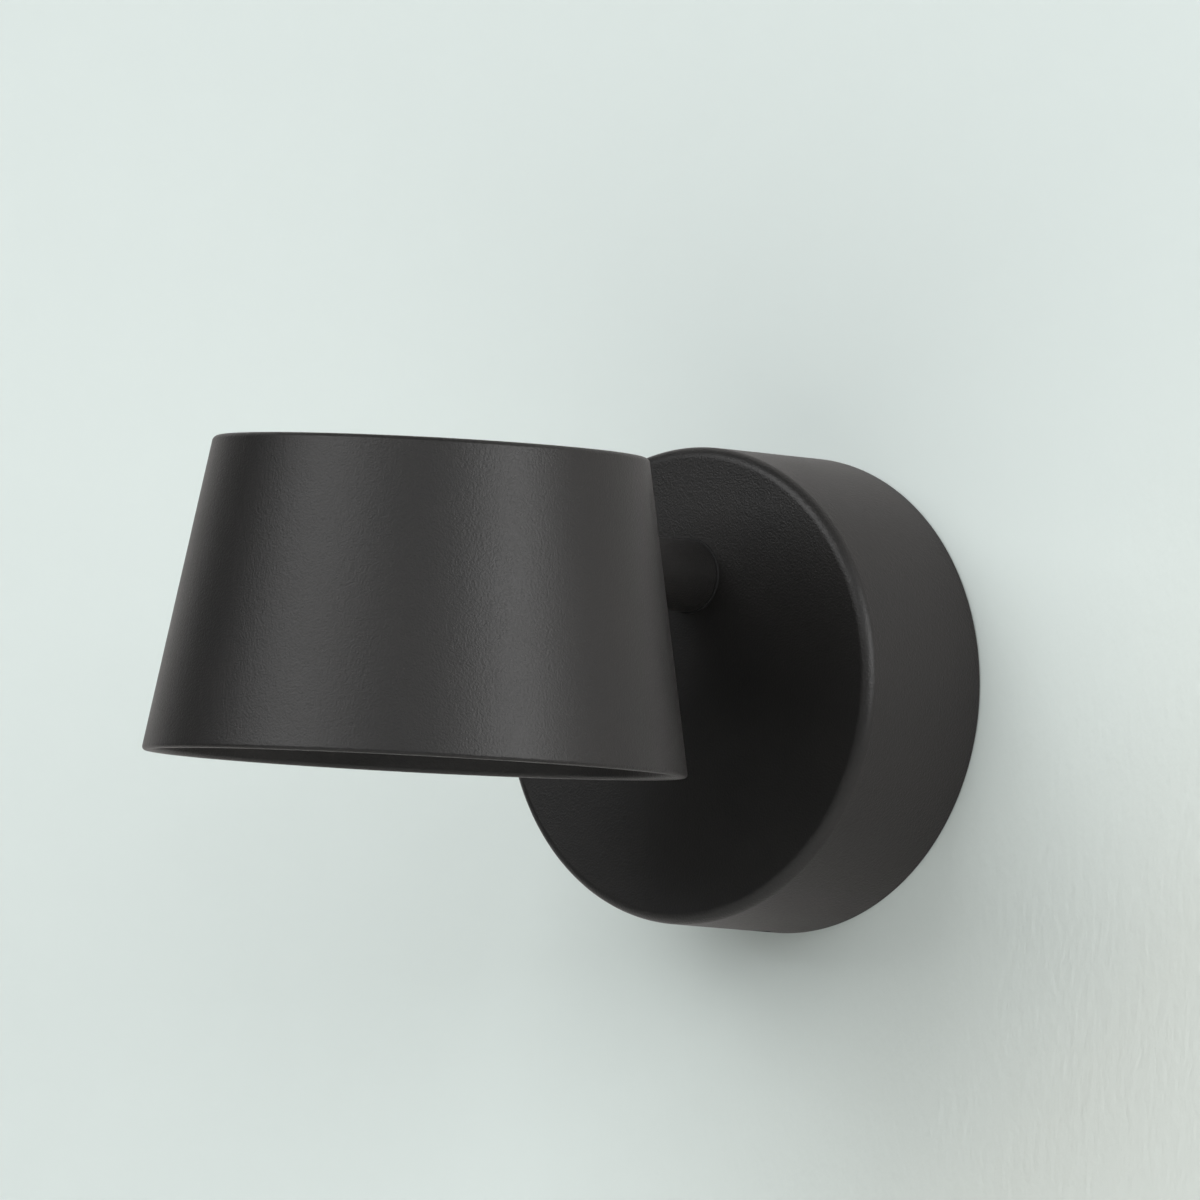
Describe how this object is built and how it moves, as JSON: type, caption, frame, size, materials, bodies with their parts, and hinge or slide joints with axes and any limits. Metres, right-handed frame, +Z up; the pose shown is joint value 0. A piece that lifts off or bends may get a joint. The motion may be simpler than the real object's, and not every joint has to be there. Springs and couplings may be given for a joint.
{
  "type": "pivoting wall spotlight",
  "caption": "Wall light with a conical downlight shade on a short arm that swivels in a deep round canopy.",
  "frame": {"origin": "centre of the canopy's back on the wall plane, midway between the two wall screws", "axes": "+Z up, +Y into the wall, so the light stands out along -Y; +X to the right seen from the room"},
  "size_m": [0.1124, 0.1773, 0.1],
  "materials": {
    "black_coat": "satin black powder coat on aluminium",
    "black_plastic": "matte black",
    "zinc_steel": "zinc plated",
    "screw_steel": "bright zinc",
    "black_steel": "black oxide",
    "rubber": "matte",
    "white_nylon": "natural nylon",
    "driver_plastic": "matte white",
    "terminal_brass": "plain",
    "pcb": "green solder mask",
    "ferrite": "taped winding",
    "capacitor": "sleeved",
    "sink": "natural die cast",
    "led_board": "white solder mask",
    "phosphor": "silicone phosphor",
    "reflector_white": "gloss white",
    "opal": "opal",
    "live_core": "brown silicone",
    "neutral_core": "blue silicone",
    "earth_core": "green and yellow silicone",
    "sheath": "white sheath"
  },
  "bodies": {
    "wall_side": {"canopy": "black_coat", "swivel_bush": "black_plastic", "wall_plate": "zinc_steel", "stop_pin": "zinc_steel", "driver_screws": "screw_steel", "terminal_block_screws": "screw_steel", "lock_screw": "black_steel", "cable_grommet": "rubber", "terminal_block": "white_nylon", "driver_case": "driver_plastic", "driver_lid": "driver_plastic", "terminal_screws": "terminal_brass", "earth_ring_terminal": "terminal_brass", "earth_screw": "terminal_brass", "driver_board": "pcb", "driver_transformer": "ferrite", "driver_capacitors": "capacitor", "live_lead": "live_core", "neutral_lead": "neutral_core", "earth_lead": "earth_core", "driver_output_lead": "sheath"},
    "head": {"arm": "black_coat", "shade": "black_coat", "saddle_washer": "zinc_steel", "tooth_washer": "zinc_steel", "head_nut": "zinc_steel", "heat_sink": "sink", "heat_sink_screws": "screw_steel", "led_board": "led_board", "board_screws": "screw_steel", "led_emitter": "phosphor", "board_connector": "white_nylon", "reflector": "reflector_white", "reflector_screws": "screw_steel", "diffuser": "opal", "retaining_ring": "black_plastic", "lamp_lead": "sheath", "head_lead_bush": "white_nylon", "tail_lead_bush": "white_nylon", "friction_washer": "zinc_steel", "wave_washer": "zinc_steel", "stop_disc": "zinc_steel", "arm_nut": "zinc_steel"}
  },
  "joints": [
    {"name": "head_swivel", "type": "hinge", "parent": "wall_side", "child": "head", "pos_m": [0, -0.0364, 0.0228], "axis": [0, 1, 0], "range_deg": [-165, 165]}
  ]
}
